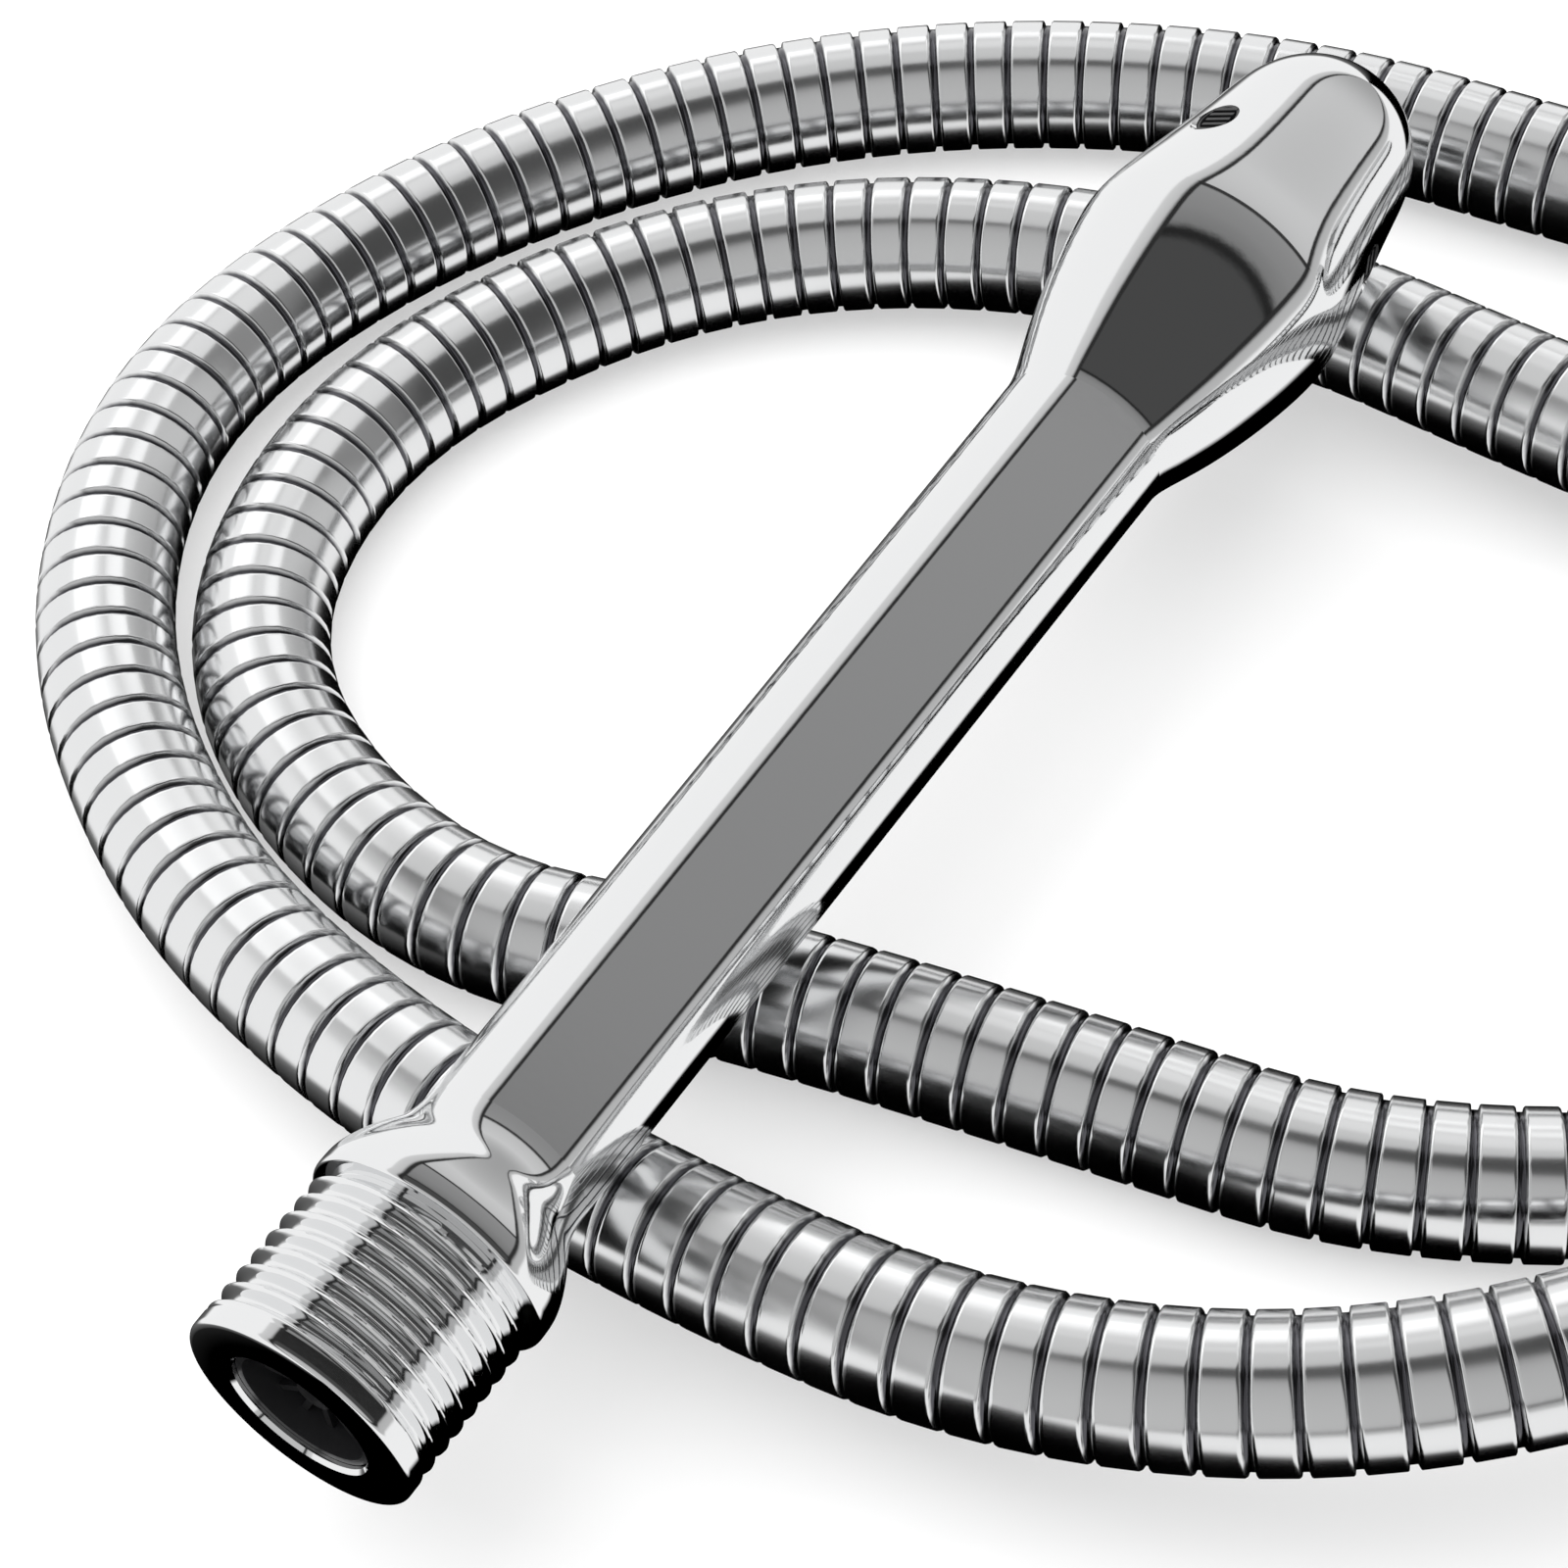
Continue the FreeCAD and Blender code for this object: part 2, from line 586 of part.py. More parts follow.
def hose_tube(name, outer, bore):
    """A plain tube along the hose's path, checked against its section times its length."""
    skins = []
    for radius in (outer, bore):
        circle = Part.Wire(Part.makeCircle(radius, route[0], along_start))
        skins.append(hose_path.makePipeShell([circle], True, False))
    tube = skins[0].cut(skins[1])
    expected = math.pi * (outer ** 2 - bore ** 2) * hose_length
    if abs(tube.Volume / expected - 1) > 0.01:
        raise ValueError(f"{name} has volume {tube.Volume:.0f}, not {expected:.0f}")
    shaped(name, tube.Solids[0])


hose_skin = size("hose_diameter") * 0.5
armour_bore = hose_skin - size("armour_wall")
liner_radius = armour_bore - size("liner_gap")
liner_bore = liner_radius - size("liner_wall")
hose_tube("hose_armour", hose_skin.value, armour_bore.value)
hose_tube("hose_liner", liner_radius.value, liner_bore.value)
print(f"hose path {hose_length:.1f} mm, radii", " ".join(f"{radius:.0f}" for radius in bend_radii))


# Hose ends: ferrule, barbed tail, washer and a nut that spins, drawn outwards from the armour's end.
def seated(end, inner_point, x, turn=0):
    """The placement of a hose end's piece: its X axis leaves the hose, its Z axis points up."""
    outward = (end - inner_point).normalize()
    sideways = Vector(0, 0, 1).cross(outward).normalize()
    frame = Rotation(outward, sideways, outward.cross(sideways), "XZY")
    return Placement(end + outward * x, frame * Rotation(Vector(1, 0, 0), turn))


barb_radius = liner_bore - size("fit_gap")
barb_root = barb_radius - size("barb_height")
tail_bore = barb_radius - size("barb_wall")
tail_radius = tail_bore + size("tail_wall")
flange_radius = root_radius - size("flange_gap")
washer_radius = root_radius - size("washer_gap")
sleeve_bore = hose_skin + size("fit_gap")
sleeve = sleeve_bore + size("ferrule_wall")
neck_hole = tail_radius + size("fit_gap")
BARBS = 4
LIP = 0.9  # the ferrule's turned-in end, past the armour
EDGE = 0.3  # small chamfer


def hose_end(prefix, end, inner_point, neck):
    """Ferrule, tail and washer of one hose end."""
    held = size("ferrule_length")
    ferrule = turned(prefix + "_ferrule", [
        (0, sleeve_bore),
        (0, sleeve - EDGE),
        (EDGE, sleeve),
        (held + (LIP - EDGE), sleeve),
        (held + LIP, sleeve - EDGE),
        (held + LIP, neck_hole),
        (held, neck_hole),
        (held, sleeve_bore),
    ])
    ferrule.Placement = seated(end, inner_point, -held.value)
    corners = [(0, tail_bore), (0, barb_root)]
    for number in range(1, BARBS + 1):
        corners.append((held * (number / (BARBS + 1)), barb_radius))
        corners.append((held * (number / (BARBS + 1)), barb_root))
    corners += [
        (held, barb_root),
        (held, tail_radius),
        (held + neck, tail_radius),
        (held + neck, flange_radius),
        (held + neck + size("flange_width"), flange_radius),
        (held + neck + size("flange_width"), tail_bore),
    ]
    tail = turned(prefix + "_tail", corners)
    tail.Placement = seated(end, inner_point, -held.value)
    washer = turned(prefix + "_washer", [
        (0, tail_radius),
        (0, washer_radius),
        (size("washer_width"), washer_radius),
        (size("washer_width"), tail_radius),
    ])
    washer.Placement = seated(end, inner_point, (neck + size("flange_width")).value)
    print(prefix, "end", end, "outward", (end - inner_point).normalize())


nut_running_bore = tail_radius + size("spin_gap")


def nut_bore(cavity_start, thread_start, front):
    """The inside of a nut, from its mouth back to the collar that pulls on the flange."""
    cavity_radius = root_radius + size("nut_relief")
    return [
        (front, root_radius),
        (thread_start, root_radius),
        (thread_start, cavity_radius),
        (cavity_start, cavity_radius),
        (cavity_start, nut_running_bore),
        (0, nut_running_bore),
    ]


def nut_places(neck, lead):
    """Back, flange space, thread and mouth of a nut, along its axis from the armour's end."""
    back = size("nut_start")
    cavity = neck - lead - size("spin_gap")
    thread = neck + size("flange_width") + size("washer_width") + 0.2
    return cavity - back, thread - back, thread + size("nut_thread") - back


cone_neck, hex_neck = size("cone_neck"), size("hex_neck")
cone_cavity, cone_thread, cone_front = nut_places(cone_neck, size("glide_width"))
hose_end("cone", route[0], route[1], cone_neck)
glide = turned("glide_ring", [
    (0, neck_hole),
    (0, flange_radius - EDGE),
    (size("glide_width"), flange_radius - EDGE),
    (size("glide_width"), neck_hole),
])
glide.Placement = seated(route[0], route[1], (cone_neck - size("glide_width")).value)
cone_back_radius = sleeve + size("cone_back_step")
cone_front_radius = size("thread_radius") + size("cone_wall")
cone_rise = cone_front_radius - cone_back_radius
cone_nut = turned("cone_nut", nut_bore(cone_cavity, cone_thread, cone_front) + [
    (0, cone_back_radius - EDGE),
    (EDGE, cone_back_radius),
    (cone_cavity * 0.5, cone_back_radius + cone_rise * 0.5, cone_cavity + 1, cone_front_radius - EDGE),
    (cone_front - 3, cone_front_radius),
    (cone_front - EDGE, cone_front_radius),
    (cone_front, cone_front_radius - EDGE),
])
cone_nut.Placement = seated(route[0], route[1], sheet.nut_start)

hex_cavity, hex_thread, hex_front = nut_places(hex_neck, 0)
hose_end("hex", route[-1], route[-2], hex_neck)
hex_flat = size("thread_radius") + size("hex_wall")
hex_corner = hex_flat * (2 / math.sqrt(3))
CORNER_CUT = 1.2  # length of the chamfer over the hexagon's corners
hex_turned = turned("hex_nut_turned", nut_bore(hex_cavity, hex_thread, hex_front) + [
    (0, hex_flat - 0.2),
    (CORNER_CUT, hex_corner + 0.1),
    (hex_front - CORNER_CUT, hex_corner + 0.1),
    (hex_front, hex_flat - 0.2),
])
hex_turned.Placement = seated(route[-1], route[-2], sheet.nut_start)
hex_prism = doc.addObject("Part::Prism", "hex_prism")
hex_prism.Polygon = 6
hex_prism.setExpression("Circumradius", hex_corner.formula)
hex_prism.setExpression("Height", hex_front.formula)
upright = Placement(Vector(), Rotation(Vector(0, 1, 0), 90))
hex_prism.Placement = seated(route[-1], route[-2], sheet.nut_start, 30).multiply(upright)
hex_nut = doc.addObject("Part::Common", "hex_nut")
hex_nut.Label = "hex_nut"
hex_nut.Base = hex_turned
hex_nut.Tool = hex_prism
doc.recompute()

HELPERS = {"hex_nut_turned", "hex_prism"}
pieces = [
    item for item in doc.Objects
    if item.isDerivedFrom("Part::Feature") and item.getParentGeoFeatureGroup() is None
    and item.Label not in HELPERS
]
for item in doc.Objects:
    if {"Invalid", "Error"} & set(item.State):
        raise ValueError(f"{item.Label} failed: {item.State}")
for piece in pieces:
    if piece.Shape.isNull() or not piece.Shape.isValid() or not piece.Shape.Solids:
        raise ValueError(f"{piece.Label} has no sound shape")

os.makedirs("parts", exist_ok=True)
for piece in pieces:
    piece.Shape.exportStep(f"parts/{piece.Label}.step")
low = min(piece.Shape.optimalBoundingBox(False).ZMin for piece in pieces)
print(f"{len(pieces)} pieces, floor {floor:.2f}, lowest {low:.2f}")
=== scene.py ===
"""Slim chrome water wand resting on the loops of its armoured hose, on a pale studio floor."""
import json
import math
import bmesh
import bpy
from mathutils import Matrix, Vector


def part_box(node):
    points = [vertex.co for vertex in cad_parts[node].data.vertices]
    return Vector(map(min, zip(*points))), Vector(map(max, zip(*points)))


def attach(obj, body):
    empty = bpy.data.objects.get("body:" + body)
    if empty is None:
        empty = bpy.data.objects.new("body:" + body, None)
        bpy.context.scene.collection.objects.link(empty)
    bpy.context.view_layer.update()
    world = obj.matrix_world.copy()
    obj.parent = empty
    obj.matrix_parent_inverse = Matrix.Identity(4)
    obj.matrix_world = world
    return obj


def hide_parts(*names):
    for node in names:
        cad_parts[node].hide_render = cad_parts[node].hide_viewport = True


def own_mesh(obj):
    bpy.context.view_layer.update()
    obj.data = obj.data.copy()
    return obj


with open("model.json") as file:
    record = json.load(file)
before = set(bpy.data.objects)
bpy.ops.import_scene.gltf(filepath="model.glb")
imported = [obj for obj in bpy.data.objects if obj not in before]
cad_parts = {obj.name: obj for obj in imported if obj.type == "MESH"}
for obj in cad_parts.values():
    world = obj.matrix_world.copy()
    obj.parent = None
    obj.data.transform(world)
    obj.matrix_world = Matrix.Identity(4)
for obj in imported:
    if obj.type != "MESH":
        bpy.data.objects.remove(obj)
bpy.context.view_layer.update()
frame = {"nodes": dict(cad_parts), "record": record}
MM = 0.001


# Camera: a long lens above the wand's inlet end, looking down along it towards the tip. Its three
# directions are its own right, up and back.
camera_data = bpy.data.cameras.new("studio_camera")
camera_data.lens = 92.16
camera_data.sensor_width = 36.0
camera = bpy.data.objects.new("studio_camera", camera_data)
bpy.context.collection.objects.link(camera)
CAMERA_PLACE = Vector((-89.67, -131.83, 265.15)) * MM
CAMERA_RIGHT = Vector((0.55441, -0.82788, -0.08516))
CAMERA_UP = Vector((0.68616, 0.39679, 0.60971))
CAMERA_BACK = Vector((-0.47098, -0.39646, 0.78803))
camera.matrix_world = Matrix.Translation(CAMERA_PLACE) @ Matrix(
    (CAMERA_RIGHT, CAMERA_UP, CAMERA_BACK)).transposed().to_4x4()
bpy.context.scene.camera = camera


# Hose armour: thin chromed steel strip wound into flat interlocking bands round a plastic liner.
# It lies where it was dropped, in two loose loops; the wand rests across both of them. The route's
# third value is the lift of the hose's middle over its place on the floor.
HOSE_RADIUS = 6.5 * MM
FLOOR = -26.3 * MM
HOSE_ROUTE = [
    (0.263, -0.103, 0.0034), (0.231, -0.099, 0.0003), (0.203, -0.080, 0), (0.188, -0.050, 0),
    (0.184, -0.018, 0), (0.181, 0.014, 0), (0.169, 0.043, 0), (0.150, 0.067, 0),
    (0.122, 0.085, 0.0006), (0.090, 0.091, 0.002), (0.062, 0.078, 0.003), (0.043, 0.052, 0.0036),
    (0.035, 0.022, 0.0046), (0.034, -0.010, 0.0052), (0.036, -0.040, 0.0074), (0.048, -0.067, 0.010),
    (0.070, -0.089, 0.013), (0.099, -0.101, 0.014), (0.131, -0.091, 0.0115), (0.148, -0.065, 0.0075),
    (0.151, -0.031, 0.004), (0.154, 0.004, 0.0021), (0.146, 0.036, 0.001), (0.128, 0.060, 0),
    (0.097, 0.074, 0), (0.066, 0.065, 0), (0.052, 0.033, 0), (0.060, 0.004, 0), (0.066, -0.027, 0),
    (0.071, -0.057, 0), (0.092, -0.088, 0), (0.118, -0.112, 0), (0.150, -0.132, 0),
    (0.186, -0.144, 0.0003), (0.222, -0.148, 0.0056), (0.258, -0.146, 0.0056),
]
BAND_PITCH = 3.85 * MM
GROOVE_DEPTH = 0.50 * MM
RINGS_PER_BAND = 8
HOSE_SIDES = 32


def mesh_piece(name, mesh, material=None):
    """A new object with that mesh, in the scene."""
    piece = bpy.data.objects.new(name, mesh)
    bpy.context.collection.objects.link(piece)
    if material is not None:
        mesh.materials.clear()
        mesh.materials.append(material)
    return piece


def smooth_curve(name, points, order, resolution):
    """A NURBS curve object through the first and last points, drawn in by the ones between."""
    data = bpy.data.curves.new(name, "CURVE")
    data.dimensions = "3D"
    data.resolution_u = resolution
    spline = data.splines.new("NURBS")
    spline.points.add(len(points) - 1)
    for spot, place in zip(spline.points, points):
        spot.co = (*place, 1.0)
    spline.order_u = order
    spline.use_endpoint_u = True
    curve = bpy.data.objects.new(name, data)
    bpy.context.collection.objects.link(curve)
    return curve


def curve_points(curve):
    """The points of a bare curve, in order."""
    bpy.context.view_layer.update()
    graph = bpy.context.evaluated_depsgraph_get()
    line = bpy.data.meshes.new_from_object(curve.evaluated_get(graph))
    points = [vertex.co.copy() for vertex in line.vertices]
    bpy.data.meshes.remove(line)
    return points


def baked(holder, name):
    """The plain mesh that a modifier makes, as a new object; the holder is removed."""
    bpy.context.view_layer.update()
    graph = bpy.context.evaluated_depsgraph_get()
    mesh = bpy.data.meshes.new_from_object(holder.evaluated_get(graph))
    mesh.name = name
    bpy.data.objects.remove(holder)
    return mesh_piece(name, mesh)


def node_tree_tools(tree):
    """Short forms for adding and joining nodes of a tree."""
    def add(kind, **settings):
        node = tree.nodes.new(kind)
        for key, value in settings.items():
            if key in node.inputs:
                node.inputs[key].default_value = value
            else:
                setattr(node, key, value)
        return node

    def join(source, output, target, entry):
        tree.links.new(source.outputs[output], target.inputs[entry])

    return add, join


def set_graph(mapping, points):
    """Shape a float curve from (x, y) points with straight runs between them."""
    line = mapping.curves[0]
    line.points[0].location = points[0]
    line.points[-1].location = points[-1]
    for place in points[1:-1]:
        line.points.new(*place)
    for point in line.points:
        point.handle_type = "VECTOR"
    mapping.update()


WIPE_GRAIN = 900.0
CLOUD_GRAIN = 75.0
GROOVE_SHADE_GREY = (0.10, 0.10, 0.11)


def chrome(name, color, roughness, height_name=None):
    """Polished plating: almost a mirror, with faint wiping marks, and with shade painted dark grey into the
    grooves if it has any.
    """
    material = bpy.data.materials.new(name)
    material.use_nodes = True
    tree = material.node_tree
    shader = tree.nodes["Principled BSDF"]
    shader.inputs["Metallic"].default_value = 1.0
    add, join = node_tree_tools(tree)
    place = add("ShaderNodeTexCoord")
    cloud = add("ShaderNodeTexNoise", Scale=CLOUD_GRAIN, Detail=3.0)
    join(place, "Object", cloud, "Vector")
    gloss = add("ShaderNodeMapRange")
    gloss.inputs["To Min"].default_value = roughness * 0.6
    gloss.inputs["To Max"].default_value = roughness * 1.6
    join(cloud, "Fac", gloss, "Value")
    join(gloss, "Result", shader, "Roughness")
    fine = add("ShaderNodeTexNoise", Scale=WIPE_GRAIN, Detail=2.0)
    join(place, "Object", fine, "Vector")
    bump = add("ShaderNodeBump", Strength=0.02, Distance=0.0001)
    join(fine, "Fac", bump, "Height")
    join(bump, "Normal", shader, "Normal")
    if height_name is None:
        shader.inputs["Base Color"].default_value = (*color, 1.0)
        return material
    # Painted shade: the base colour falls to a dark grey where the bands sink into their grooves.
    depth = add("ShaderNodeAttribute", attribute_name=height_name)
    ramp = add("ShaderNodeValToRGB")
    ramp.color_ramp.elements[0].color = (*GROOVE_SHADE_GREY, 1.0)
    ramp.color_ramp.elements[1].color = (*color, 1.0)
    ramp.color_ramp.elements[1].position = 0.75
    join(depth, "Fac", ramp, "Fac")
    join(ramp, "Color", shader, "Base Color")
    return material


hose_line = smooth_curve(
    "hose_line", [(x, y, FLOOR + HOSE_RADIUS + lift) for x, y, lift in HOSE_ROUTE], order=3, resolution=24)
hose_points = curve_points(hose_line)
hose_chrome = chrome("hose_chrome", (0.80, 0.805, 0.81), 0.17, height_name="band_height")

# One band's rings, by their share of the band: where each lies along it, and how high it stands out
# of the groove. The height also sets the shade painted into the grooves.
BAND_SPREAD = [(0, 0), (0.125, 0.15), (0.25, 0.185), (0.375, 0.21), (0.5, 0.26),
               (0.625, 0.90), (0.75, 0.95), (0.875, 0.98), (1, 1)]
BAND_HEIGHT = [(0, 0), (0.125, 0), (0.25, 0.82), (0.375, 1.0), (0.5, 1.0),
               (0.625, 1.0), (0.75, 1.0), (0.875, 0.82), (1, 0)]


def armour_tree():
    """Bands along a curve: rings are set closer at the band edges, and drop into the grooves."""
    tree = bpy.data.node_groups.new("armour_bands", "GeometryNodeTree")
    face = tree.interface
    face.new_socket("Geometry", in_out="INPUT", socket_type="NodeSocketGeometry")
    for name, value in (("Pitch", BAND_PITCH), ("Radius", HOSE_RADIUS), ("Groove Depth", GROOVE_DEPTH)):
        face.new_socket(name, in_out="INPUT", socket_type="NodeSocketFloat").default_value = value
    for name, value in (("Rings", RINGS_PER_BAND), ("Sides", HOSE_SIDES)):
        face.new_socket(name, in_out="INPUT", socket_type="NodeSocketInt").default_value = value
    face.new_socket("Geometry", in_out="OUTPUT", socket_type="NodeSocketGeometry")
    add, join = node_tree_tools(tree)
    start, end = add("NodeGroupInput"), add("NodeGroupOutput")

    def math_node(operation, first, second):
        node = add("ShaderNodeMath", operation=operation)
        for socket, source in zip(node.inputs, (first, second)):
            if isinstance(source, tuple):
                tree.links.new(source[0].outputs[source[1]], socket)
            else:
                socket.default_value = source
        return node

    length = add("GeometryNodeCurveLength")
    join(start, "Geometry", length, "Curve")
    exact = math_node("DIVIDE", (length, "Length"), (start, "Pitch"))
    bands = math_node("ROUND", (exact, "Value"), 0.0)
    rings = math_node("MULTIPLY", (bands, "Value"), (start, "Rings"))
    count = math_node("ADD", (rings, "Value"), 1.0)
    line = add("GeometryNodeMeshLine")
    join(count, "Value", line, "Count")
    index = add("GeometryNodeInputIndex")
    share = math_node("DIVIDE", (index, "Index"), (start, "Rings"))
    band = math_node("FLOOR", (share, "Value"), 0.0)
    within = math_node("SUBTRACT", (share, "Value"), (band, "Value"))
    spread = add("ShaderNodeFloatCurve")
    set_graph(spread.mapping, BAND_SPREAD)
    join(within, "Value", spread, "Value")
    height = add("ShaderNodeFloatCurve")
    set_graph(height.mapping, BAND_HEIGHT)
    join(within, "Value", height, "Value")
    place = math_node("ADD", (band, "Value"), (spread, "Value"))
    fraction = math_node("DIVIDE", (place, "Value"), (bands, "Value"))
    sample = add("GeometryNodeSampleCurve", mode="FACTOR")
    join(start, "Geometry", sample, "Curves")
    join(fraction, "Value", sample, "Factor")
    put = add("GeometryNodeSetPosition")
    join(line, "Mesh", put, "Geometry")
    join(sample, "Position", put, "Position")
    # The ring heights go to the hose material, which uses them to paint shade into the grooves.
    keep = add("GeometryNodeStoreNamedAttribute", data_type="FLOAT", domain="POINT", Name="band_height")
    join(put, "Geometry", keep, "Geometry")
    join(height, "Value", keep, "Value")
    strand = add("GeometryNodeMeshToCurve")
    join(keep, "Geometry", strand, "Mesh")
    dip = math_node("SUBTRACT", 1.0, (height, "Value"))
    sink = math_node("MULTIPLY", (dip, "Value"), (start, "Groove Depth"))
    radius = math_node("SUBTRACT", (start, "Radius"), (sink, "Value"))
    ring = add("GeometryNodeCurvePrimitiveCircle", Radius=1.0)
    join(start, "Sides", ring, "Resolution")
    sweep = add("GeometryNodeCurveToMesh")
    join(strand, "Curve", sweep, "Curve")
    join(ring, "Curve", sweep, "Profile Curve")
    join(radius, "Value", sweep, "Scale")
    smooth = add("GeometryNodeSetShadeSmooth")
    join(sweep, "Mesh", smooth, "Geometry")
    real = add("GeometryNodeRealizeInstances")
    join(smooth, "Geometry", real, "Geometry")
    paint = add("GeometryNodeSetMaterial", Material=hose_chrome)
    join(real, "Geometry", paint, "Geometry")
    join(paint, "Geometry", end, "Geometry")
    return tree


bands = hose_line.modifiers.new("bands", "NODES")
bands.node_group = armour_tree()
armour = baked(hose_line, "armour")
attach(armour, "hose")
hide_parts("hose_armour", "hose_liner")
HOSE_LENGTH = sum((after - before).length for before, after in zip(hose_points, hose_points[1:]))
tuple(hose_points[0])


# Wand skins: turned brass and drawn tube, polished and chromed as one smooth outline, so the seams
# between inlet, shaft, flare and cap hardly show. Every outline is closed, in millimetres from the
# inlet's face and out from the axis.
WAND_SIDES = 192
SHARP_DEGREES = 28
AXIS_RADIUS = 1e-7
polished = chrome("polished_chrome", (0.84, 0.845, 0.85), 0.045)


def eased(points, order=4, resolution=10):
    """A smooth stretch of an outline, from (x, radius) in millimetres to metres."""
    curve = smooth_curve("outline", [(x * MM, radius * MM, 0) for x, radius in points], order, resolution)
    places = [(point.x, point.y) for point in curve_points(curve)]
    bpy.data.objects.remove(curve)
    return places


def straight(points):
    """Corners of an outline, from millimetres to metres."""
    return [(x * MM, radius * MM) for x, radius in points]


def spun_mesh(name, outline, sides=WAND_SIDES, radius_at=None):
    """The skin of a closed outline turned about X; points on the axis become poles."""
    shell = bmesh.new()
    rings = []
    for x, radius in outline:
        if radius < AXIS_RADIUS:
            rings.append([shell.verts.new((x, 0, 0))])
            continue
        ring = []
        for side in range(sides):
            angle = 2 * math.pi * side / sides
            reach = radius if radius_at is None else radius_at(x, radius, angle)
            ring.append(shell.verts.new((x, reach * math.sin(angle), reach * math.cos(angle))))
        rings.append(ring)
    for first, second in zip(rings, rings[1:] + rings[:1]):
        if len(first) == 1 and len(second) == 1:
            continue
        for side in range(sides):
            after = (side + 1) % sides
            if len(first) == 1:
                shell.faces.new((first[0], second[after], second[side]))
            elif len(second) == 1:
                shell.faces.new((first[side], first[after], second[0]))
            else:
                shell.faces.new((first[side], first[after], second[after], second[side]))
    bmesh.ops.recalc_face_normals(shell, faces=shell.faces)
    mesh = bpy.data.meshes.new(name)
    shell.to_mesh(mesh)
    shell.free()
    return mesh


def finish_mesh(mesh, sharp_degrees=SHARP_DEGREES):
    """Smooth shading that stops at real edges."""
    mesh.polygons.foreach_set("use_smooth", [True] * len(mesh.polygons))
    mesh.set_sharp_from_angle(angle=math.radians(sharp_degrees))


def wand_skin(name, outline, node, radius_at=None):
    """A turned and chromed piece of the wand in place of its plain node."""
    mesh = spun_mesh(name, outline, radius_at=radius_at)
    finish_mesh(mesh)
    skin = mesh_piece(name, mesh, polished)
    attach(skin, "wand")
    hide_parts(node)


# Inlet: a G1/2 outside thread rolled on a bored brass end, a collar to stop the hose nut, and a
# concave neck down to the shaft.
THREAD_PITCH = 1.814
THREAD_DEPTH = 1.10
THREAD_FROM = 1.8
THREAD_FADE = 1.2
THREAD_PHASE = 2.1
THREAD_END = 15.4
THREAD_RINGS = 150
ROOT_WIDTH = 0.8
CREST = 10.4775
BAND_END = 0.7
RELIEF_START = 15.2


def thread_radius(x, radius, angle):
    """Rounded helical ridges, fading in from the plain end band and ending before the collar."""
    along = x / MM
    if radius < (CREST - THREAD_DEPTH / 2) * MM or along > THREAD_END:
        return radius
    turn = (along - THREAD_PHASE) / THREAD_PITCH - angle / (2 * math.pi)
    wave = 0.5 - 0.5 * math.cos(2 * math.pi * turn)
    fade_in = min(max((along - THREAD_FROM) / THREAD_FADE, 0.0), 1.0)
    return radius - THREAD_DEPTH * MM * wave ** ROOT_WIDTH * fade_in


thread_step = (RELIEF_START - BAND_END) / (THREAD_RINGS - 1)
inlet_outline = (
    straight([(0.0, 6.7), (0.0, 9.9)])
    + eased([(0.0, 9.9), (0.1, CREST), (0.6, CREST)], order=3, resolution=6)[1:]
    + straight([(BAND_END + ring * thread_step, CREST) for ring in range(THREAD_RINGS)])
    + straight([(15.45, 9.7), (15.9, 9.35), (16.25, 9.35)])
    + eased([(16.3, 9.4), (16.3, 10.5), (16.3, 11.05), (16.9, 11.05)], order=3, resolution=8)
    + eased([(17.0, 11.05), (17.9, 11.05), (18.8, 10.95), (20.3, 10.4), (22.0, 9.5), (23.4, 8.55),
             (24.8, 8.0), (26.0, 7.82), (27.0, 7.79)])[1:]
    + straight([(27.0, 7.0), (37.0, 7.0), (37.0, 5.3), (20.0, 5.3), (20.0, 6.4), (0.35, 6.4)])
)
wand_skin("inlet", inlet_outline, "inlet_body", radius_at=thread_radius)


# Shaft: drawn brass tube, polished and chromed, swelling very slightly towards the head. It slides
# over the spigots of the inlet and the flare, and an O-ring seals each of them.
shaft_outline = straight([(27.0, 7.79), (110.0, 8.12), (114.0, 8.15), (114.0, 7.05), (27.0, 7.05)])
wand_skin("shaft", shaft_outline, "shaft_tube")


# Head flare: the bell between shaft and bulb, turned from brass, polished and chromed. It has a
# spigot at each end, one inside the shaft and one inside the cap.
flare_outline = (
    eased([(114.0, 8.15), (115.3, 8.25), (117.0, 8.75), (119.5, 9.65), (123.0, 10.85), (128.5, 12.2),
           (132.5, 12.9), (134.9, 13.2), (136.0, 13.2)])
    + straight([(136.0, 10.2), (141.0, 10.2), (141.0, 9.2), (128.0, 9.0), (117.0, 5.3), (104.0, 5.3),
                (104.0, 7.0), (114.0, 7.0)]))
wand_skin("flare", flare_outline, "head_flare")


# Head cap: a turned brass cup with a domed tip, polished and chromed, pressed on the flare's
# spigot. It is drilled for three side jets, and each hole has a small countersink.
cap_outline = (
    eased([(136.0, 13.2), (137.0, 13.2), (139.4, 12.9), (143.0, 12.2), (147.0, 11.4), (151.0, 10.65),
           (154.3, 10.1), (156.8, 9.7), (159.4, 8.9), (162.0, 7.3), (163.9, 4.8), (164.5, 2.2),
           (164.5, 0.0)])
    + straight([(161.0, 0.0), (161.0, 3.9), (156.5, 7.2), (148.5, 8.8), (141.3, 9.85), (141.3, 10.25),
                (136.0, 10.25)]))
JET_PLACE = 146.5 * MM
JET_RADIUS = 2.1
JET_ANGLES = (215, 335, 95)
DRILL_SIDES = 48
SINK_STEP = 0.3
SINK_WIDTH = 1.4
DRILL_OUTLINE = [(7.0, JET_RADIUS), (11.2, JET_RADIUS), (11.5, JET_RADIUS + SINK_STEP),
                 (13.0, JET_RADIUS + SINK_WIDTH)]


def axis_turn(degrees):
    """A turn about the wand's axis, from +Z towards -Y."""
    return Matrix.Rotation(math.radians(degrees), 4, "X")


